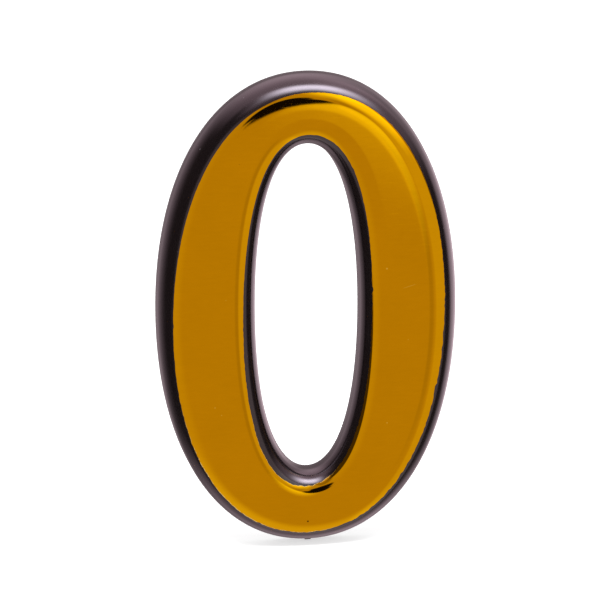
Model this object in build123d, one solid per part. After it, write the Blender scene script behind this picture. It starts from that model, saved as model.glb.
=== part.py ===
from build123d import *
import math
import os

# Driving dimensions, in millimetres and degrees

# Moulded digit, measured at its back
height = 60.0
width = 37.5
thickness = 4.0

# Strokes of the digit, measured at the back: the counter is what they leave open in the middle
side_stroke = 12.3
end_stroke = 9.15  # mean of the top and the bottom
counter_rise = 0.35  # the counter sits this far above the middle of the outline

# How square the ovals are: the curve handle as a share of the half axis (0.552 gives an ellipse)
outline_fullness = 0.602
counter_fullness = 0.618

# Moulded edges
draft = 3.0  # lean of the walls towards the front
outer_shoulder = 3.3  # radius of the round edge along the outline
counter_shoulder = 2.7  # radius of the round edge along the counter

# Trimmed mark of the mould gate, on the lowest point of the wall
gate_width = 0.8
gate_depth = 1.0
gate_proud = 0.2
gate_root = 0.8  # how far the stub reaches into the wall

# Hot-stamped foil on the front
foil_thickness = 0.1
outer_margin = 1.75  # bare plastic between the outline and the foil
counter_margin = 1.5  # bare plastic between the counter and the foil

FRONT = Plane.XZ  # X to the right, Z up, extruded towards the viewer


def oval(oval_width, oval_height, fullness):
    """Flat oval face, made of four curves that meet smoothly on its two axes."""
    half_width = oval_width / 2
    half_height = oval_height / 2
    right = (half_width, 0)
    top = (0, half_height)
    right_handle = (half_width, half_height * fullness)
    top_handle = (half_width * fullness, half_height)
    upper_right = Bezier(right, right_handle, top_handle, top)
    upper = upper_right + mirror(upper_right, Plane.YZ)
    return make_face(upper + mirror(upper, Plane.XZ))


def drafted_oval(back_width, back_height, fullness, rise, depth, growth):
    """Oval block standing on the back plane, wider at its front by growth on each side."""
    back = FRONT * Pos(0, rise) * oval(back_width, back_height, fullness)
    front_oval = oval(back_width + 2 * growth, back_height + 2 * growth, fullness)
    front = FRONT.offset(depth) * Pos(0, rise) * front_oval
    return loft([back, front])


def front_face(ring):
    """The flat front of the ring, with the counter as a hole in it."""
    return ring.faces().sort_by(Axis.Y)[0]


def digit(skin=0.0):
    """The oval ring with drafted walls and round shoulders, all but its back moved outwards by skin."""
    depth = thickness + skin
    lean = depth * math.tan(math.radians(draft))
    outside = drafted_oval(width + 2 * skin, height + 2 * skin, outline_fullness, 0, depth, -lean)
    counter = drafted_oval(
        width - 2 * (side_stroke + skin),
        height - 2 * (end_stroke + skin),
        counter_fullness,
        counter_rise,
        depth,
        lean,
    )
    ring = outside - counter
    ring = fillet(front_face(ring).outer_wire().edges(), outer_shoulder + skin)
    return fillet(front_face(ring).inner_wires()[0].edges(), counter_shoulder + skin)


def gate_mark():
    """Small flat-ended stub that the trimmed gate left at the bottom of the wall."""
    stub = Box(
        gate_width,
        gate_depth,
        gate_proud + gate_root,
        align=(Align.CENTER, Align.MAX, Align.MIN),
    )
    return Pos(0, 0, -height / 2 - gate_proud) * stub


def stamped_band():
    """Oval band that holds what the stamping die covers, from the back to in front of the foil."""
    band = oval(width - 2 * outer_margin, height - 2 * outer_margin, outline_fullness)
    opening = oval(
        width - 2 * (side_stroke - counter_margin),
        height - 2 * (end_stroke - counter_margin),
        counter_fullness,
    )
    return extrude(FRONT * (band - Pos(0, counter_rise) * opening), thickness + 2 * foil_thickness)


plain_digit = digit()
number_body = plain_digit + gate_mark()
gold_foil = (digit(skin=foil_thickness) - plain_digit) & stamped_band()

os.makedirs("parts", exist_ok=True)
for name, piece in {"number_body": number_body, "gold_foil": gold_foil}.items():
    export_step(piece, f"parts/{name}.step")
    print(name, "volume", round(piece.volume, 1), "valid", piece.is_valid, piece.bounding_box())
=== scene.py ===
# %% [markdown]
# # A door number with a foil face
# The object is a digit nought for a door: one oval ring moulded in glossy black plastic, with a thin gold
# film stamped on its front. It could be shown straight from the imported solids, but a mirror film shows
# every facet of a triangle mesh. So both pieces are modelled again here, finely, inside the same sizes.

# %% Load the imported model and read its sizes
import math

import bpy
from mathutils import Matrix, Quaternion, Vector, noise


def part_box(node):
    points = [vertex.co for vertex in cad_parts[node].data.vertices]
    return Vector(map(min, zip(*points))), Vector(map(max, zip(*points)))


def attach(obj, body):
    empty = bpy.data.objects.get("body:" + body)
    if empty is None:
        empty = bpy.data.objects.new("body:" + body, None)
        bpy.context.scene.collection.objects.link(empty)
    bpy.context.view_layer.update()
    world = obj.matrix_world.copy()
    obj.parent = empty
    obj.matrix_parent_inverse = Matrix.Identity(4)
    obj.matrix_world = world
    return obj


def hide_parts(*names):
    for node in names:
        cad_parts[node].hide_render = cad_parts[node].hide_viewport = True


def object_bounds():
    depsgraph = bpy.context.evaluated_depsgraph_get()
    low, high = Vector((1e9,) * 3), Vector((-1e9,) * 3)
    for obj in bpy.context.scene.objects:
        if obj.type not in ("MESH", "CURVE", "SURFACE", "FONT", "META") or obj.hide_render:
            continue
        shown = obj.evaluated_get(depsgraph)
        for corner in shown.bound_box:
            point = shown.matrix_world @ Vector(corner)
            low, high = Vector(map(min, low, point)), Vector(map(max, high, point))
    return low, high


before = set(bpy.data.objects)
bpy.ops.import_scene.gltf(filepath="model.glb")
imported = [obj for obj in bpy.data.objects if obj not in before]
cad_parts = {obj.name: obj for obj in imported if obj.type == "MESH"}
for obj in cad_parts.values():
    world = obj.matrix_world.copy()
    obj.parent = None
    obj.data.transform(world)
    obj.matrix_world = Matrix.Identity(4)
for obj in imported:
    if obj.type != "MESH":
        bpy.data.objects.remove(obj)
cad_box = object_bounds()
mm = 0.001

body_low, body_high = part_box("number_body")
foil_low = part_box("gold_foil")[0]
half_width = body_high.x
half_height = body_high.z
thickness = -body_low.y
film_thickness = body_low.y - foil_low.y
print("digit", round(2 * half_width / mm, 2), "by", round(2 * half_height / mm, 2), "mm")

# %% [markdown]
# ## Camera
# The camera comes first, because every later look is judged through it. The digit was seen from a little
# to the left and from above, through a long lens. The place of the digit's middle in the picture gives the
# point to aim at, so the lens needs no shift.

# %% Camera at the viewing angle
picture_side = 600
view_azimuth = -8.0
view_elevation = 16.0
view_roll = -0.25
view_distance = 342 * mm
pixel_size = 0.1241 * mm  # what one pixel covers at the digit
middle_pixel = (305.7, 308.3)
nearest_seen = 10 * mm


def direction(azimuth, elevation):
    """Unit vector that points this way, in degrees: 0, 0 is straight out of the front of the digit."""
    turn = math.radians(azimuth)
    rise = math.radians(elevation)
    return Vector((math.sin(turn) * math.cos(rise), -math.cos(turn) * math.cos(rise), math.sin(rise)))


towards_camera = direction(view_azimuth, view_elevation)
picture_right = direction(view_azimuth + 90, 0)
picture_up = towards_camera.cross(picture_right)
aim_right = (picture_side / 2 - middle_pixel[0]) * pixel_size
aim_up = (middle_pixel[1] - picture_side / 2) * pixel_size
aim = picture_right * aim_right + picture_up * aim_up
eye = towards_camera * view_distance

bpy.ops.object.camera_add(location=eye)
camera = bpy.context.object
camera.name = "camera"
upright = (eye - aim).to_track_quat("Z", "Y")
roll = Quaternion((0, 0, 1), math.radians(view_roll))
camera.rotation_euler = (upright @ roll).to_euler()
camera.data.lens = camera.data.sensor_width * view_distance / (picture_side * pixel_size)
camera.data.clip_start = nearest_seen
bpy.context.scene.camera = camera
print("lens", round(camera.data.lens, 1), "mm")

# %% [markdown]
# ## Outlines
# A Bezier circle has four points with handles. Pulling the handles out makes the oval fuller than an
# ellipse, which is how this digit is drawn. Turned into a mesh, each outline is one closed edge loop, and
# loops with the same number of points can be bridged into a clean band of four-sided faces. Loops that lie
# in one plane can be paired the wrong way round, so they are bridged as a tall tower and flattened after.

# %% Ovals as edge loops
circle_handle = 4 / 3 * (math.sqrt(2) - 1)


def pick(*pieces):
    """Selects these pieces and nothing else, and makes the first one active."""
    bpy.ops.object.select_all(action="DESELECT")
    for piece in pieces:
        piece.select_set(True)
    bpy.context.view_layer.objects.active = pieces[0]


def oval_loop(half_across, half_up, fullness, rise, steps):
    """One closed edge loop in the plane of the back, with steps edges in each quarter."""
    bpy.ops.object.select_all(action="DESELECT")
    bpy.ops.curve.primitive_bezier_circle_add(radius=1)
    oval = bpy.context.object
    spline = oval.data.splines[0]
    spline.resolution_u = steps
    pull = fullness / circle_handle
    for point in spline.bezier_points:
        point.handle_left_type = "FREE"
        point.handle_right_type = "FREE"
    for point in spline.bezier_points:
        corner = point.co.copy()
        arms = [(arm - corner) * pull + corner for arm in (point.handle_left, point.handle_right)]
        left_arm, right_arm, middle = [
            Vector((spot.x * half_across, 0, spot.y * half_up + rise)) for spot in (*arms, corner)
        ]
        point.co = middle
        point.handle_left = left_arm
        point.handle_right = right_arm
    bpy.ops.object.convert(target="MESH")
    return bpy.context.object


print("handles of a circle", round(circle_handle, 3), "of its radius")

# %% Copies of a loop, moved in and stacked
tower_step = 10 * mm


def shifted(outline, inset, depth):
    """A copy of an outline moved inwards by inset all along, at this depth."""
    pick(outline)
    bpy.ops.object.duplicate()
    copy = bpy.context.object
    spots = [vertex.co.copy() for vertex in outline.data.vertices]
    for place, vertex in enumerate(copy.data.vertices):
        along = spots[(place + 1) % len(spots)] - spots[place - 1]
        inwards = Vector((along.z, 0, -along.x)).normalized()
        vertex.co = spots[place] + inwards * inset + Vector((0, -depth, 0))
    return copy


def joined(loops, name):
    """One piece made of these loops, joined one after another so that their points stay in order."""
    for later in loops[1:]:
        pick(loops[0], later)
        bpy.ops.object.join()
    loops[0].name = name
    loops[0].data.name = name
    return loops[0]


def tower(outlines, insets, name):
    """One piece of loops, each a copy of its outline moved in by its inset, standing one above another."""
    copies = []
    for level, (outline, inset) in enumerate(zip(outlines, insets)):
        copies.append(shifted(outline, inset, level * tower_step))
    return joined(copies, name)


print("loops of a tower stand", round(tower_step / mm), "mm apart")

# %% Bands of faces between the loops
def edit_all(piece):
    """Opens a piece in edit mode with all of it selected."""
    pick(piece)
    bpy.ops.object.mode_set(mode="EDIT")
    bpy.ops.mesh.select_mode(type="EDGE")
    bpy.ops.mesh.select_all(action="SELECT")


def bridge(piece, way, cuts=0):
    """Joins the loops of a tower from step to step by bands of faces; way CLOSED also joins its ends."""
    edit_all(piece)
    bpy.ops.mesh.bridge_edge_loops(type=way, number_cuts=cuts, interpolation="LINEAR")
    bpy.ops.object.mode_set(mode="OBJECT")


def face_outwards(piece):
    """Turns all faces of the piece to its outside."""
    edit_all(piece)
    bpy.ops.mesh.normals_make_consistent(inside=False)
    bpy.ops.object.mode_set(mode="OBJECT")


print("modelling helpers ready")

# %% [markdown]
# ## The moulding
# The real ring has walls that lean in a little towards the front, so that it leaves its mould, and wide
# round shoulders. A bevel would have to turn inwards on one edge and outwards on the other. Here a copy of
# the outline is moved in, all along by the same amount, for each step of the section, and bridged to the
# last. One narrow flat step on the back keeps the shading of the back even.

# %% Section of the ring
side_stroke = 12.3 * mm
end_stroke = 9.15 * mm
counter_rise = 0.35 * mm
outline_fullness = 0.602
counter_fullness = 0.618
draft = math.radians(3.0)
outer_shoulder = 3.3 * mm
counter_shoulder = 2.7 * mm
shoulder_steps = 72
run_out_lean = math.radians(5.0)
run_out_radius = 13 * mm
run_out_steps = 10
back_edge = 0.12 * mm
back_steps = 3
back_border = 0.3 * mm

counter_across = half_width - side_stroke
counter_up = half_height - end_stroke


def bend_inset(radius):
    """How far inside the edge a plain round shoulder of this radius would meet the flat front."""
    return (thickness - radius) * math.tan(draft) + radius / math.cos(draft)


def round_step(radius, lean):
    """Inset and depth on a shoulder where it leans this much; the last degrees run out more slowly."""
    slow = run_out_radius - radius
    if lean > run_out_lean:
        drop = slow * (1 - math.cos(run_out_lean)) + radius * (1 - math.cos(lean))
        return bend_inset(radius) - radius * math.sin(lean), thickness - drop
    flat_inset = bend_inset(radius) + slow * math.sin(run_out_lean)
    return flat_inset - run_out_radius * math.sin(lean), thickness - run_out_radius * (1 - math.cos(lean))


def section(radius):
    """Inset and depth of each step, from the back face over the wall and the shoulder to the front."""
    steps = [(back_edge + back_border, 0)]
    for step in range(back_steps + 1):
        turn = math.pi / 2 * step / back_steps
        steps.append((back_edge * (1 - math.sin(turn)), back_edge * (1 - math.cos(turn))))
    steepest = math.pi / 2 - draft
    for step in range(shoulder_steps):
        lean = steepest + (run_out_lean - steepest) * step / shoulder_steps
        steps.append(round_step(radius, lean))
    for step in range(run_out_steps + 1):
        steps.append(round_step(radius, run_out_lean * (1 - step / run_out_steps)))
    return steps


print("front is flat from", round(round_step(outer_shoulder, 0)[0] / mm, 2), "mm inside the outline")

# %% Ring of bridged loops
body_steps = 72
body_loop = 4 * body_steps

outer_steps = section(outer_shoulder)
counter_steps = section(counter_shoulder)[::-1]
insets = [inset for inset, depth in outer_steps] + [-inset for inset, depth in counter_steps]
depths = [depth for inset, depth in outer_steps + counter_steps]
outline = oval_loop(half_width, half_height, outline_fullness, 0, body_steps)
counter = oval_loop(counter_across, counter_up, counter_fullness, counter_rise, body_steps)
outlines = [outline] * len(outer_steps) + [counter] * len(counter_steps)
moulding = tower(outlines, insets, "moulded_digit")
bridge(moulding, "CLOSED")
for place, vertex in enumerate(moulding.data.vertices):
    vertex.co.y = -depths[place // body_loop]
face_outwards(moulding)
for used in (outline, counter):
    bpy.data.objects.remove(used)
print("moulding faces", len(moulding.data.polygons))

# %% [markdown]
# ## The gate mark
# Plastic entered the mould at the bottom of the digit, and the trimmed sprue left a small stub. A cube with
# softened edges is cut to that size and welded to the wall with a Boolean, so the mesh stays one closed
# skin.

# %% Stub of the trimmed gate
gate_width = 0.8 * mm
gate_depth = 1.0 * mm
gate_root = 0.8 * mm
gate_edge = 0.08 * mm
gate_edge_steps = 3
gate_proud = -body_low.z - half_height
gate_height = gate_proud + gate_root
gate_middle = (0, -gate_depth / 2, -half_height - gate_proud + gate_height / 2)

bpy.ops.object.select_all(action="DESELECT")
bpy.ops.mesh.primitive_cube_add(size=1, location=gate_middle)
stub = bpy.context.object
stub.scale = (gate_width, gate_depth, gate_height)
bpy.ops.object.transform_apply(location=True, rotation=True, scale=True)
softened = stub.modifiers.new("softened", "BEVEL")
softened.width = gate_edge
softened.segments = gate_edge_steps
bpy.ops.object.modifier_apply(modifier=softened.name)
print("stub stands", round(gate_proud / mm, 2), "mm proud")

# %% Weld the stub to the wall
moulding_crease = math.radians(30)

pick(moulding)
weld = moulding.modifiers.new("weld", "BOOLEAN")
weld.operation = "UNION"
weld.solver = "EXACT"
weld.object = stub
bpy.ops.object.modifier_apply(modifier=weld.name)
bpy.data.objects.remove(stub)
bpy.ops.object.shade_smooth_by_angle(angle=moulding_crease)
print("moulding with its gate mark", len(moulding.data.polygons), "faces")

# %% [markdown]
# ## The film
# Hot-stamped foil is a flat film that a soft die presses over the front until it grips the shoulders. It is
# made the same way here: a flat band with frayed edges, turned a little because the die sat slightly askew,
# is projected onto the moulding by a Shrinkwrap and then given its thickness.

# %% Ragged edge of a stamping
edge_fray = 0.16 * mm
mean_fray = 0.6
fray_swing = 0.4
long_wave = 1.6 * mm
long_share = 0.4
short_wave = 0.5 * mm
short_share = 0.7
short_start = (7, 3, 5)
nick_size = 0.9 * mm
nick_share = 2.0
nick_start = (2, 9, 4)
nick_threshold = 0.35


def turned(spot, angle):
    """A point turned clockwise round the middle of the digit, as the front is seen."""
    across = spot.x * math.cos(angle) + spot.z * math.sin(angle)
    up = spot.z * math.cos(angle) - spot.x * math.sin(angle)
    return Vector((across, spot.y, up))


def wave(spot, size, start=(0, 0, 0)):
    """Smooth noise between about -1 and 1, with bumps of this size."""
    return noise.noise(spot / size + Vector(start))


def fray(points, angle, shift, amount):
    """Sets one edge of the film askew with the die and makes it ragged, least on the upper left."""
    for vertex in points:
        spot = turned(vertex.co, angle) + shift
        outwards = Vector((spot.x, 0, spot.z)).normalized()
        lower_right = (outwards.x - outwards.z) / math.sqrt(2)
        rough = mean_fray + fray_swing * lower_right
        wander = long_share * wave(spot, long_wave) + short_share * wave(spot, short_wave, short_start)
        nick = max(0, wave(spot, nick_size, nick_start) - nick_threshold)
        vertex.co = spot + outwards * amount * rough * (wander - nick_share * nick)


print("edges frayed by up to", round(edge_fray / mm, 2), "mm")

# %% Flat film with frayed edges
outer_margin = 1.94 * mm
counter_margin = 1.60 * mm
die_turn = math.radians(1.6)
die_shift = Vector((-0.03, 0, -0.09)) * mm
opening_turn = math.radians(0.85)
opening_shift = Vector((-0.26, 0, 0.05)) * mm
film_steps = 200
film_loop = 4 * film_steps
film_cuts = 9
start_depth = 2 * thickness

outer_turns = [round_step(outer_shoulder, lean)[0] for lean in (run_out_lean, 0)]
counter_turns = [-round_step(counter_shoulder, lean)[0] for lean in (0, run_out_lean)]
film_insets = [0] + outer_turns + counter_turns + [-counter_margin]
outline = oval_loop(half_width, half_height, outline_fullness, 0, film_steps)
counter = oval_loop(counter_across, counter_up, counter_fullness, counter_rise, film_steps)
die = oval_loop(half_width - outer_margin, half_height - outer_margin, outline_fullness, 0, film_steps)
film = tower([die, outline, outline, counter, counter, counter], film_insets, "gold_film")
for used in (die, outline, counter):
    bpy.data.objects.remove(used)
fray(film.data.vertices[:film_loop], die_turn, die_shift, edge_fray)
fray(film.data.vertices[-film_loop:], opening_turn, opening_shift, -edge_fray)
bridge(film, "SINGLE", film_cuts)
for vertex in film.data.vertices:
    vertex.co.y = -start_depth
print("flat film faces", len(film.data.polygons))

# %% Press the film onto the moulding and give it its thickness
film_crease = math.radians(40)

face_outwards(film)
if film.data.polygons[0].normal.y > 0:
    film.data.flip_normals()

edges = film.vertex_groups.new(name="edges")
last_loop = (len(film_insets) - 1) * film_loop
edges.add(list(range(film_loop)) + list(range(last_loop, last_loop + film_loop)), 1.0, "REPLACE")

press = film.modifiers.new("press", "SHRINKWRAP")
press.target = moulding
press.wrap_method = "PROJECT"
press.use_project_y = True
press.use_positive_direction = True
press.use_negative_direction = False
bpy.ops.object.modifier_apply(modifier=press.name)

body_of_film = film.modifiers.new("thickness", "SOLIDIFY")
body_of_film.thickness = film_thickness
body_of_film.offset = 1
bpy.ops.object.modifier_apply(modifier=body_of_film.name)
bpy.ops.object.shade_smooth_by_angle(angle=film_crease)
print("pressed film faces", len(film.data.polygons))

# %% Mark the rim of the film for its finish
rim = film.data.attributes.new("rim", "FLOAT", "POINT")
for vertex in film.data.vertices:
    rim.data[vertex.index].value = sum(share.weight for share in vertex.groups)
low = [min(vertex.co[axis] for vertex in film.data.vertices) / mm for axis in range(3)]
high = [max(vertex.co[axis] for vertex in film.data.vertices) / mm for axis in range(3)]
print("film from", [round(v, 3) for v in low], "to", [round(v, 3) for v in high])

# %% [markdown]
# ## Writing shaders
# A finish is a sum of small maths on noise. The class below wraps one socket, so that sums and products of
# sockets can be written as plain expressions, and each one adds its Math node by itself.


# %% A socket with arithmetic
class Wire:
    """An output socket of a node tree that can be added, multiplied and fed to other nodes."""

    def __init__(self, tree, socket=None):
        self.tree = tree
        self.socket = socket

    def make(self, kind, settings=None, inputs=None, output=0):
        """Adds a node of this kind, sets it up, feeds its inputs and returns one of its outputs."""
        node = self.tree.nodes.new(kind)
        for key, value in (settings or {}).items():
            setattr(node, key, value)
        for key, value in (inputs or {}).items():
            if isinstance(value, Wire):
                self.tree.links.new(value.socket, node.inputs[key])
            else:
                node.inputs[key].default_value = value
        return Wire(self.tree, node.outputs[output])

    def other(self, output):
        """Another output of the same node."""
        return Wire(self.tree, self.socket.node.outputs[output])

    def maths(self, operation, first, second):
        """A sum on two values."""
        return self.make("ShaderNodeMath", {"operation": operation}, {0: first, 1: second})

    def vectors(self, operation, inputs, output="Vector"):
        """A sum on vectors or colours."""
        return self.make("ShaderNodeVectorMath", {"operation": operation}, inputs, output)

    def __add__(self, other):
        return self.maths("ADD", self, other)

    def __sub__(self, other):
        return self.maths("SUBTRACT", self, other)

    def __mul__(self, other):
        return self.maths("MULTIPLY", self, other)

    def __rsub__(self, other):
        return self.maths("SUBTRACT", other, self)

    __radd__ = __add__
    __rmul__ = __mul__

    def step(self, low, high):
        """0 below low and 1 above high, with a smooth rise between them."""
        inputs = {"Value": self, "From Min": low, "From Max": high}
        return self.make("ShaderNodeMapRange", {"interpolation_type": "SMOOTHSTEP"}, inputs)

    def tint(self, first, second):
        """A colour that goes from first to second as this value goes from 0 to 1."""
        inputs = {"Factor": self, "A": first, "B": second}
        return self.make("ShaderNodeMix", {"data_type": "RGBA", "clamp_factor": True}, inputs, output=2)


print("sockets can be added, subtracted and multiplied")

# %% Noise, bumps and colours
bump_depth = 0.05 * mm


def opaque(red, green, blue):
    """A colour that lets nothing through."""
    return (red, green, blue, 1.0)


def new_finish(name):
    """An empty material, its Principled shader and a wire to make its first node with."""
    finish = bpy.data.materials.new(name)
    finish.use_nodes = True
    tree = finish.node_tree
    return finish, tree.nodes["Principled BSDF"], Wire(tree)


def connect(wire, shader, name):
    """Feeds a wire to one socket of a shader."""
    wire.tree.links.new(wire.socket, shader.inputs[name])


def grain(spot, size, detail=2.0, stretch=(1, 1, 1), seed=0.0):
    """Noise from 0 to 1 with waves of about this size in metres, longer where stretch is larger."""
    scale = [1 / (size * part) for part in stretch]
    placing = {"Vector": spot, "Scale": scale, "Location": (seed,) * 3}
    placed = spot.make("ShaderNodeMapping", inputs=placing)
    return spot.make("ShaderNodeTexNoise", inputs={"Vector": placed, "Scale": 1.0, "Detail": detail})


def mixed(marks, shares, start=0.0):
    """A number to start with, and a share of each of these marks."""
    return sum((marks[name] * share for name, share in shares.items()), start)


def bumped(height, strength):
    """The direction of a surface with these small heights on it."""
    inputs = {"Strength": strength, "Distance": bump_depth, "Height": height}
    return height.make("ShaderNodeBump", inputs=inputs)


print("shader helpers ready")

# %% [markdown]
# ## Black plastic
# The moulding came from a polished tool, so it is glossy, but the skin is not perfect: slow ripples from
# the shrinking plastic, a fine orange peel, hairline scratches from handling and a little dust. All of them
# are noise of different sizes that feeds the colour, the roughness and a bump. The back, which nobody sees
# on a door, is matt: that half of a mould is seldom polished.

# %% Marks on the plastic
ripple_size = 4 * mm
plastic_peel_size = 0.35 * mm
handling_hair = 0.12 * mm
handling_stretch = (1, 1, 40)
handling_range = (0.66, 0.72)
dust_spacing = 1.1 * mm
dust_radius = (0.05, 0.09)  # as shares of the spacing
dusty_patch = 3 * mm
dusty_range = (0.50, 0.62)
back_skin = (-0.020 * mm, -0.002 * mm)


def plastic_marks(spot):
    """All that breaks the gloss of the moulding, each from 0 to 1."""
    hairs = grain(spot, handling_hair, detail=1.0, stretch=handling_stretch, seed=4.0)
    specks = spot.make("ShaderNodeTexVoronoi", inputs={"Vector": spot, "Scale": 1 / dust_spacing})
    dusty_place = grain(spot, dusty_patch, seed=9.0).step(*dusty_range)
    depth = spot.make("ShaderNodeSeparateXYZ", inputs={"Vector": spot}, output="Y")
    return {
        "ripple": grain(spot, ripple_size),
        "peel": grain(spot, plastic_peel_size, detail=3.0),
        "scratch": hairs.step(*handling_range),
        "dust": (1 - specks.step(*dust_radius)) * dusty_place,
        "matt_back": depth.step(*back_skin),
    }


print("plastic ripples about", round(ripple_size / mm, 1), "mm long")

# %% Glossy moulded plastic
plain_black = opaque(0.0050, 0.0032, 0.0034)
dusty_grey = opaque(0.060, 0.052, 0.055)
plastic_glint = opaque(1.0, 0.86, 0.93)
plastic_index = 1.59
plastic_roughness = 0.13
plastic_bump = 0.12
plastic_greying = {"dust": 0.80, "scratch": 0.05}
plastic_haze = {"ripple": 0.06, "scratch": 0.05, "dust": 0.30, "matt_back": 0.35}
plastic_relief = {"ripple": 0.50, "peel": 0.05, "dust": 0.12, "scratch": -0.03}


def moulded_black():
    """Black plastic from a polished mould, with a matt back."""
    finish, shader, start = new_finish("black_plastic")
    marks = plastic_marks(start.make("ShaderNodeTexCoord", output="Object"))
    connect(mixed(marks, plastic_greying).tint(plain_black, dusty_grey), shader, "Base Color")
    connect(mixed(marks, plastic_haze, plastic_roughness), shader, "Roughness")
    connect(bumped(mixed(marks, plastic_relief), plastic_bump), shader, "Normal")
    shader.inputs["IOR"].default_value = plastic_index
    shader.inputs["Specular Tint"].default_value = plastic_glint
    return finish


moulding.data.materials.clear()
moulding.data.materials.append(moulded_black())
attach(moulding, "root")
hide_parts("number_body")
print("moulding finished in", moulding.data.materials[0].name)

# %% [markdown]
# ## Gold film
# The film is a mirror of aluminium under an amber lacquer, so it is a metal with a deep yellow colour. Its
# gloss is broken by the moulding's orange peel under it, by soft clouds and a fine weave in the lacquer, by
# scratches, and by a few pinholes where the film never took and the black shows through. Along its edge the
# film is dark brown, and at the lower left its edges carry a painted highlight: a patchy pale line that is
# no longer a mirror.

# %% Single marks on the film
# Places on the front: across, up and radius, in millimetres
pinholes = (
    (-0.4, -26.6, 0.15),
    (-8.6, 19.5, 0.06),
)
pale_specks = (
    (9.5, 5.8, 0.14),
    (9.6, -14.1, 0.11),
    (-11.9, -11.1, 0.10),
    (-11.1, -12.1, 0.09),
    (12.2, -3.4, 0.08),
    (-10.4, 2.6, 0.08),
)
spot_core = 0.7
spot_reach = 1.2
ragged_edge = 0.05 * mm

# Both ends of one longer scratch and its width, in millimetres
long_scratch = ((11.5, 3.2), (13.2, 3.7), 0.045)
scratch_core = 0.3


def distance_to(spot, across, up):
    """How far a point of the front lies from this place, in metres."""
    flat = spot.vectors("MULTIPLY", {0: spot, 1: (1, 0, 1)})
    return spot.vectors("DISTANCE", {0: flat, 1: (across * mm, 0, up * mm)}, "Value")


def spots_on(spot, places, ragged):
    """1 inside each of these round places and 0 outside all of them, with ragged edges."""
    covered = 0.0
    for across, up, radius in places:
        edge = distance_to(spot, across, up) + ragged * ragged_edge
        covered = 1 - edge.step(spot_core * radius * mm, spot_reach * radius * mm) + covered
    return covered


def line_on(spot, start, end, width):
    """1 along a scratch from start to end, where the way over both ends is hardly longer than it."""
    length = math.dist(start, end) * mm
    detour = distance_to(spot, *start) + distance_to(spot, *end)
    slack = 2 * (width * mm) ** 2 / length
    return 1 - detour.step(length + scratch_core * slack, length + slack)


print("single marks on the film", len(pinholes) + len(pale_specks) + 1)

# %% All marks on the film
cloud_size = 5 * mm
film_peel_size = 0.8 * mm
wiping_hair = 0.10 * mm
wiping_stretch = (30, 30, 1)
wiping_range = (0.68, 0.74)
weave_size = 0.30 * mm
weave_stretch = (5, 5, 1)
long_scratch_share = 0.6

# The dark brown edge line and the painted highlight at the lower left: where they start and are full, with
# 1 on the rim itself
dark_edge_range = (0.72, 0.98)
# Painted highlight: a patchy pale line along the lower left edges of the film
highlight_edge_range = (0.25, 0.85)
highlight_across = (1.5 * mm, 4 * mm)
highlight_up = (-20 * mm, -8 * mm)
highlight_share = 0.7
breakup_size = 0.45 * mm
breakup_range = (0.35, 0.60)


def film_marks(spot):
    """All that breaks the mirror of the film, each from 0 to 1."""
    peel = grain(spot, film_peel_size, seed=2.0)
    hairs = grain(spot, wiping_hair, detail=1.0, stretch=wiping_stretch, seed=6.0)
    near_edge = spot.make("ShaderNodeAttribute", {"attribute_name": "rim"}, output="Fac")
    across = spot.make("ShaderNodeSeparateXYZ", inputs={"Vector": spot}, output="X")
    low_left = (1 - across.step(*highlight_across)) * (1 - across.other("Z").step(*highlight_up))
    broken_up = grain(spot, breakup_size, seed=15.0).step(*breakup_range)
    return {
        "cloud": grain(spot, cloud_size, detail=3.0),
        "peel": peel,
        "scratch": hairs.step(*wiping_range),
        "weave": grain(spot, weave_size, stretch=weave_stretch, seed=12.0),
        "bare": spots_on(spot, pinholes, peel),
        "marked": spots_on(spot, pale_specks, peel) + line_on(spot, *long_scratch) * long_scratch_share,
        # dark brown line along the film's edge
        "cut": near_edge.step(*dark_edge_range),
        # painted highlight along the lower left edges, broken up by noise
        "painted_highlight": near_edge.step(*highlight_edge_range) * low_left * broken_up * highlight_share,
    }


print("lacquer clouds about", round(cloud_size / mm, 1), "mm long")

# %% Stamped mirror film
amber = opaque(0.57, 0.280, 0.0004)
pale_amber = opaque(0.67, 0.330, 0.0010)
bare_black = opaque(0.030, 0.010, 0.004)
# dark brown along the film's edge
dark_edge_brown = opaque(0.090, 0.035, 0.004)
chalky = opaque(0.80, 0.52, 0.060)
# painted highlight: a pale colour that is no mirror
painted_highlight_colour = opaque(0.80, 0.62, 0.22)
film_roughness = 0.03
film_bump = 0.10
film_clouding = {"cloud": 0.55, "weave": 0.45}
film_haze = {"cloud": 0.04, "scratch": 0.05, "bare": 0.30, "cut": 0.35}
film_relief = {"cloud": 0.60, "peel": 0.12, "scratch": -0.04, "bare": -0.40, "weave": 0.03}

# Colours over the lacquer, each with the share of it that its mark brings
film_layers = (
    ("cut", 1.00, dark_edge_brown),
    ("bare", 0.85, bare_black),
    ("marked", 0.80, chalky),
    # painted highlight at the lower left
    ("painted_highlight", 1.00, painted_highlight_colour),
)


def stamped_gold():
    """Mirror film under amber lacquer, dark brown along its edge, with a painted highlight along its lower
    left edges.
    """
    finish, shader, start = new_finish("gold_foil")
    marks = film_marks(start.make("ShaderNodeTexCoord", output="Object"))
    colour = mixed(marks, film_clouding).tint(amber, pale_amber)
    for name, share, layer in film_layers:
        colour = (marks[name] * share).tint(colour, layer)
    connect(colour, shader, "Base Color")
    connect(mixed(marks, film_haze, film_roughness), shader, "Roughness")
    connect(bumped(mixed(marks, film_relief), film_bump), shader, "Normal")
    # the painted highlight is not a mirror
    connect(1 - marks["painted_highlight"], shader, "Metallic")
    return finish


film.data.materials.clear()
film.data.materials.append(stamped_gold())
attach(film, "root")
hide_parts("gold_foil")
print("film finished in", film.data.materials[0].name)

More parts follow.
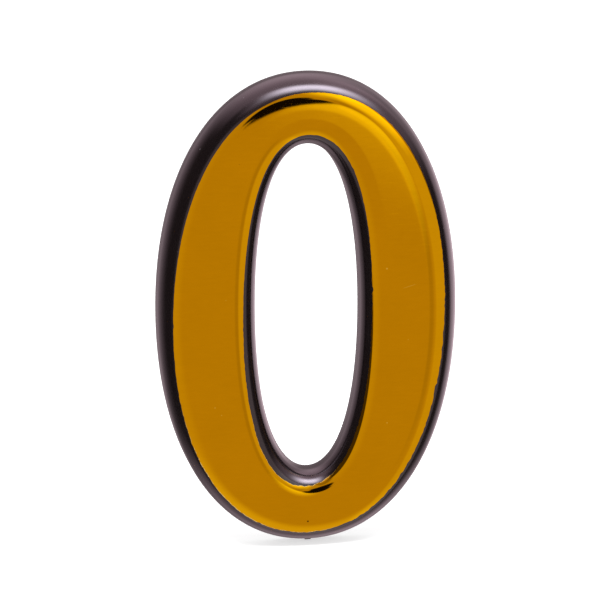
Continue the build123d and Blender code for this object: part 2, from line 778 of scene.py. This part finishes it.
# %% [markdown]
# ## Floor and lamp
# The digit stands on a pale floor, which would go grey under one lamp. The floor therefore glows a little,
# for the camera alone, so that it is white and keeps a faint shadow. One soft lamp overhead lights it all.
# Gloss doesn't show the lamp itself, because its glare is painted with the surroundings below.

# %% Pale floor
floor_side = 6.0
floor_grey = 0.8
floor_glow = 0.62
floor_roughness = 0.9


def pale_floor():
    """White paint that glows a little for the camera, so that only the shadow is darker than white."""
    paint, shader, start = new_finish("pale_floor")
    seen = start.make("ShaderNodeLightPath", output="Is Camera Ray")
    glow = seen.tint(opaque(0.0, 0.0, 0.0), opaque(floor_glow, floor_glow, floor_glow))
    connect(glow, shader, "Emission Color")
    shader.inputs["Emission Strength"].default_value = 1.0
    shader.inputs["Base Color"].default_value = opaque(floor_grey, floor_grey, floor_grey)
    shader.inputs["Roughness"].default_value = floor_roughness
    shader.inputs["Specular IOR Level"].default_value = 0.0
    return paint


bpy.ops.object.select_all(action="DESELECT")
bpy.ops.mesh.primitive_plane_add(size=floor_side, location=(0, 0, cad_box[0].z))
floor = bpy.context.object
floor.name = "floor"
floor.visible_glossy = False
floor.data.materials.append(pale_floor())
print("floor at", round(cad_box[0].z / mm, 2), "mm")

# %% Soft lamp overhead
lamp_elevation = 74
lamp_distance = 450 * mm
lamp_across = 420 * mm
lamp_deep = 150 * mm
lamp_radiance = 10.0

lamp_place = direction(0, lamp_elevation) * lamp_distance
bpy.ops.object.light_add(type="AREA", location=lamp_place)
lamp = bpy.context.object
lamp.name = "overhead_softbox"
lamp.rotation_euler = lamp_place.to_track_quat("Z", "Y").to_euler()
lamp.data.shape = "RECTANGLE"
lamp.data.size = lamp_across
lamp.data.size_y = lamp_deep
lamp.data.energy = lamp_radiance * math.pi * lamp_across * lamp_deep
lamp.visible_camera = False
lamp.visible_glossy = False
print("softbox", round(lamp.data.energy, 2), "W")

# %% [markdown]
# ## Surroundings
# A mirror shows its surroundings, so they matter as much as the finish. The camera itself sees plain white
# all round. Gloss shows a studio instead: the darker camera side in front with a pale panel to the upper
# right, a white room behind, and the glare of the lamp, which draws the long highlight on the top shoulder.
# The studio is painted on the world by direction, so it stays in its place when the camera moves. A range
# says where a light starts and where it is full: 1 is straight that way, 0 is at a right angle to it.

# %% Directions round the digit
world = bpy.data.worlds.new("studio")
bpy.context.scene.world = world
world.use_nodes = True
heading = Wire(world.node_tree).make("ShaderNodeTexCoord", output="Generated")


def facing(azimuth, elevation):
    """How nearly a direction points this way: 1 at the middle, 0 at a right angle. Angles in degrees."""
    return heading.vectors("DOT_PRODUCT", {0: heading, 1: direction(azimuth, elevation)}, "Value")


def patch(azimuth, elevation, inner, outer):
    """1 within the inner angle of this direction and 0 beyond the outer one, in degrees."""
    return facing(azimuth, elevation).step(math.cos(math.radians(outer)), math.cos(math.radians(inner)))


def any_patch(places):
    """1 inside at least one of these patches and 0 outside all of them."""
    outside = 1.0
    for place in places:
        outside = (1 - patch(*place)) * outside
    return 1 - outside


def patches(rows):
    """Sum of patches, each with a level as the last number of its row."""
    return sum(patch(*place) * level for *place, level in rows)


def window(way, low, rise, fall, high):
    """1 between rise and fall, 0 below low and above high."""
    return way.step(low, rise) * (1 - way.step(fall, high))


def dimmed(way, low, high, share):
    """1 below low, less by this share above high."""
    return 1 - way.step(low, high) * share


right = facing(90, 0)
left = facing(-90, 0)
up = facing(0, 90)
down = facing(0, -90)
front = facing(0, 0)
back = facing(180, 0)
print("directions ready, nodes so far", len(world.node_tree.nodes))

# %% Camera side of the studio, as the film sees it
# Patches: azimuth, elevation, inner and outer radius, all in degrees
lit_side = ((10, -18, 52.5, 55.5), (0, -40, 45, 50))
camera_and_hood = ((4.5, 1.5, 6, 8), (-0.5, 10, 8, 10))
dark_corner = (-16, 31, 8, 14)
corner_depth = 0.5

# Brighter patches: the same four numbers, and a level
pale_panels = (
    (34, 26, 8, 26, 0.90),
    (24, 36, 6, 18, 0.50),
    (13, -7, 1, 8, 0.70),
    (15, -4, 1, 6, 0.35),
)

# A darker seam in the wall: where it lies across and where it starts from below
wall_level = 0.735
seam_across = (0.21, 0.24, 0.27, 0.32)
seam_foot = (-0.40, -0.30)
seam_depth = 0.12

# Paler ends of the wall: the way they lie, where they start and are full, and their level
wall_ends = (
    (left, 0.05, 0.60, 0.10),
    (right, 0.29, 0.40, 0.20),
    (down, 0.50, 0.85, 0.35),
)
unlit_level = 0.07
dark_level = 0.008

mirror_range = any_patch(lit_side)
open_view = mirror_range * (1 - any_patch(camera_and_hood)) * (1 - patch(*dark_corner) * corner_depth)
seam = window(right, *seam_across) * up.step(*seam_foot)
front_level = wall_level - seam * seam_depth
ends_level = sum(way.step(low, high) * level for way, low, high, level in wall_ends)
panel_level = patches(pale_panels)
side_fill = (1 - mirror_range) * unlit_level
print("camera side has", len(pale_panels), "pale panels and", len(wall_ends), "paler ends")

# %% White room behind, above and below, as the plastic sees it
# Walls behind: where they start and are full, how they fade, and their levels
right_half = (0.0, 0.4)
right_wall = (-0.05, 0.28)
right_wall_top = (-0.2, 0.25, 0.45)
right_wall_level = 1.9
left_wall = (-0.15, 0.7)
left_wall_fade = (0.0, 0.9)
left_wall_level = 1.3
left_wall_drop = 0.45
straight_behind = (0.75, 0.95, 0.7)
hidden_below = (0.27, 0.6, 0.65)

# Ceiling and floor of the room
ceiling = (0.45, 1.0)
ceiling_front = (0.30, 0.55)
ceiling_level = 1.75
ceiling_panels = (
    (70, 42, 14, 42, 1.0),
    (-22, 48, 8, 22, 0.9),
)
room_floor = (0.55, 0.85)
room_floor_strip = (-0.7, -0.4, 0.05, 0.2)
room_floor_level = 0.8

right_side = right.step(*right_half)
behind_right = back.step(*right_wall) * right_side * dimmed(up, *right_wall_top) * right_wall_level
left_level = left_wall_level - left.step(*left_wall_fade) * left_wall_drop
behind_left = back.step(*left_wall) * (1 - right_side) * left_level
behind_level = (behind_right + behind_left) * dimmed(back, *straight_behind) * dimmed(down, *hidden_below)
overhead = up.step(*ceiling) * (1 - front.step(*ceiling_front)) * ceiling_level
above_level = overhead + patches(ceiling_panels)
below_level = down.step(*room_floor) * window(front, *room_floor_strip) * room_floor_level
print("white room has", len(ceiling_panels), "ceiling panels")

# %% Glare of the lamp
glare_elevation = 58
glare_across = (-0.45, 0.05, 0.25, 0.85)
glare_deep = (-0.34, 0.0, 0.06, 0.30)
glare_foot = (0.1, 0.4)
glare_level = 15

beyond_lamp = facing(0, glare_elevation + 90)
glare = window(right, *glare_across) * window(beyond_lamp, *glare_deep) * up.step(*glare_foot)
lamp_level = glare * glare_level
print("glare stands", glare_elevation, "degrees up")

# %% Studio for gloss and white for the camera
warm_wall = (1.0, 0.79, 0.75)
cool_panel = (0.82, 1.00, 1.00)
rosy_room = (1.0, 0.78, 0.86)
lamp_white = (1.0, 1.03, 1.12)
ambient = opaque(0.6, 0.6, 0.6)
white = opaque(1.0, 1.0, 1.0)

lights = (
    (front_level * open_view + side_fill + dark_level, warm_wall),
    ((ends_level + panel_level) * open_view, cool_panel),
    (behind_level + above_level + below_level, rosy_room),
    (lamp_level, lamp_white),
)
studio = (0.0, 0.0, 0.0)
for level, colour in lights:
    light = level.vectors("SCALE", {0: colour, "Scale": level})
    studio = light.vectors("ADD", {0: studio, 1: light})

seen = heading.make("ShaderNodeLightPath", output="Is Camera Ray")
mirrored = seen.maths("MAXIMUM", seen.other("Is Glossy Ray"), seen.other("Is Transmission Ray"))
surroundings = seen.tint(mirrored.tint(ambient, studio), white)
sky = world.node_tree.nodes["Background"]
connect(surroundings, sky, "Color")
sky.inputs["Strength"].default_value = 1.0
bpy.context.scene.view_settings.view_transform = "Standard"
print("studio nodes", len(world.node_tree.nodes))
